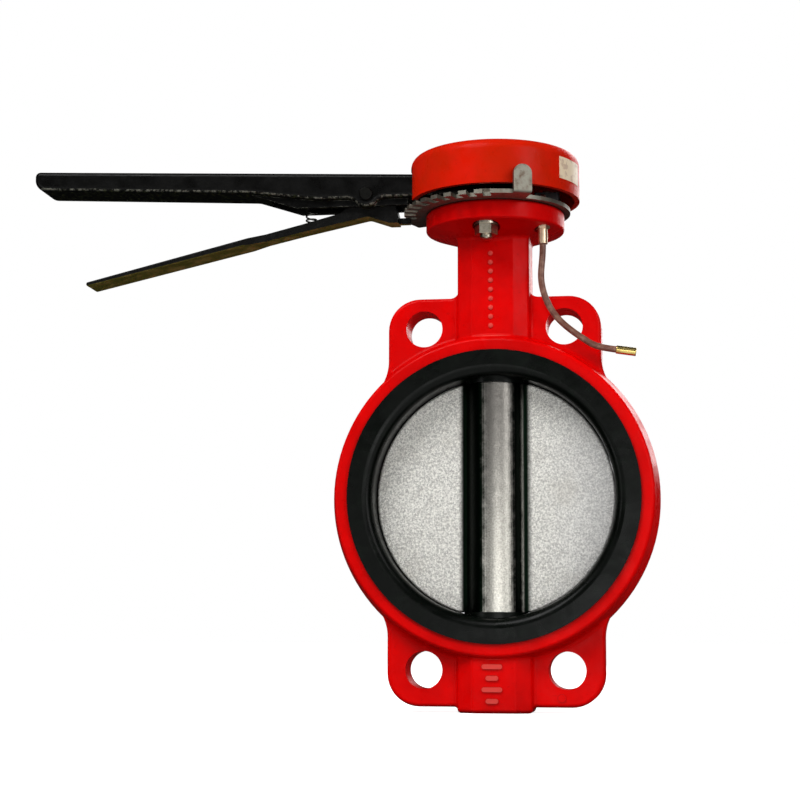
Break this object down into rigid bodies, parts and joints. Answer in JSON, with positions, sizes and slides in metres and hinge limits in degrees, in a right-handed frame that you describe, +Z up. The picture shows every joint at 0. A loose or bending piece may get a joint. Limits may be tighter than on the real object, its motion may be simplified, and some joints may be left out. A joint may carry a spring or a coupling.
{
  "type": "wafer butterfly valve",
  "caption": "Wafer butterfly valve: rubber-lined ring body with bolt ears, hubbed disc on stub shafts, latching hand lever over a notched plate, covered position switch and signal cable.",
  "frame": {"origin": "centre of the disc, midway between the pipe faces", "axes": "+Y along the pipe, +Z up the shaft towards the lever, and the lever lies along -X with the disc closed"},
  "size_m": [0.4225, 0.1176, 0.3675],
  "materials": {
    "red_paint": "glossy red paint over a casting",
    "cover_paint": "glossy orange-red paint",
    "seat_rubber": "satin black moulded rubber",
    "seal_rubber": "smooth black rubber",
    "disc_metal": "nickel-plated casting with a fine stipple",
    "shaft_steel": "ground stainless steel",
    "bush_bronze": "machined bronze",
    "plated_steel": "zinc-plated steel",
    "pin_steel": "dark plain steel",
    "spring_steel": "oiled spring steel",
    "plate_zinc": "pressed steel with dull zinc plating",
    "black_casting": "black paint over a casting",
    "cam_plastic": "moulded acetal",
    "switch_plastic": "moulded plastic",
    "label_paper": "plain paper sticker",
    "cable_jacket": "flexible cable jacket",
    "ferrule_brass": "crimped brass"
  },
  "bodies": {
    "valve_body": {"body_casting": "red_paint", "seat_liner": "seat_rubber", "lower_neck_bush": "bush_bronze", "upper_neck_bush": "bush_bronze", "bottom_bush": "bush_bronze", "stem_packing": "seal_rubber", "stem_retaining_ring": "spring_steel", "bottom_plug": "plated_steel", "bottom_plug_seal": "seal_rubber", "notched_plate": "plate_zinc", "plate_bolts": "plated_steel", "plate_washers": "plated_steel", "plate_nuts": "plated_steel", "switch_case": "switch_plastic", "switch_screws": "plated_steel", "cable_gland": "plate_zinc", "cable": "cable_jacket", "cable_ferrule": "ferrule_brass"},
    "rotor": {"disc": "disc_metal", "upper_stem": "shaft_steel", "lower_stem": "shaft_steel", "handle": "black_casting", "handle_washer": "plated_steel", "handle_screw": "plated_steel", "trigger_pin": "pin_steel", "trigger_spring": "spring_steel", "cover": "cover_paint", "cover_screws": "plated_steel", "cover_label": "label_paper", "cam_ring": "cam_plastic"},
    "squeeze_trigger": {"trigger": "black_casting"},
    "plunger": {"switch_plunger": "pin_steel"}
  },
  "joints": [
    {"name": "valve_turn", "type": "hinge", "parent": "valve_body", "child": "rotor", "pos_m": [0, 0, 0], "axis": [0, 0, 1], "range_deg": [0, 90]},
    {"name": "trigger_squeeze", "type": "hinge", "parent": "rotor", "child": "squeeze_trigger", "pos_m": [-0.085, 0, 0.203], "axis": [0, 1, 0], "range_deg": [-6, 15], "deforming": ["trigger_spring"]},
    {"name": "plunger_travel", "type": "slide", "parent": "valve_body", "child": "plunger", "axis": [1, 0, 0], "range_m": [0, 0.0015]}
  ],
  "couplings": [
    {"joint": "plunger_travel", "follows": "valve_turn", "m_per_rad": 0.00095492}
  ]
}
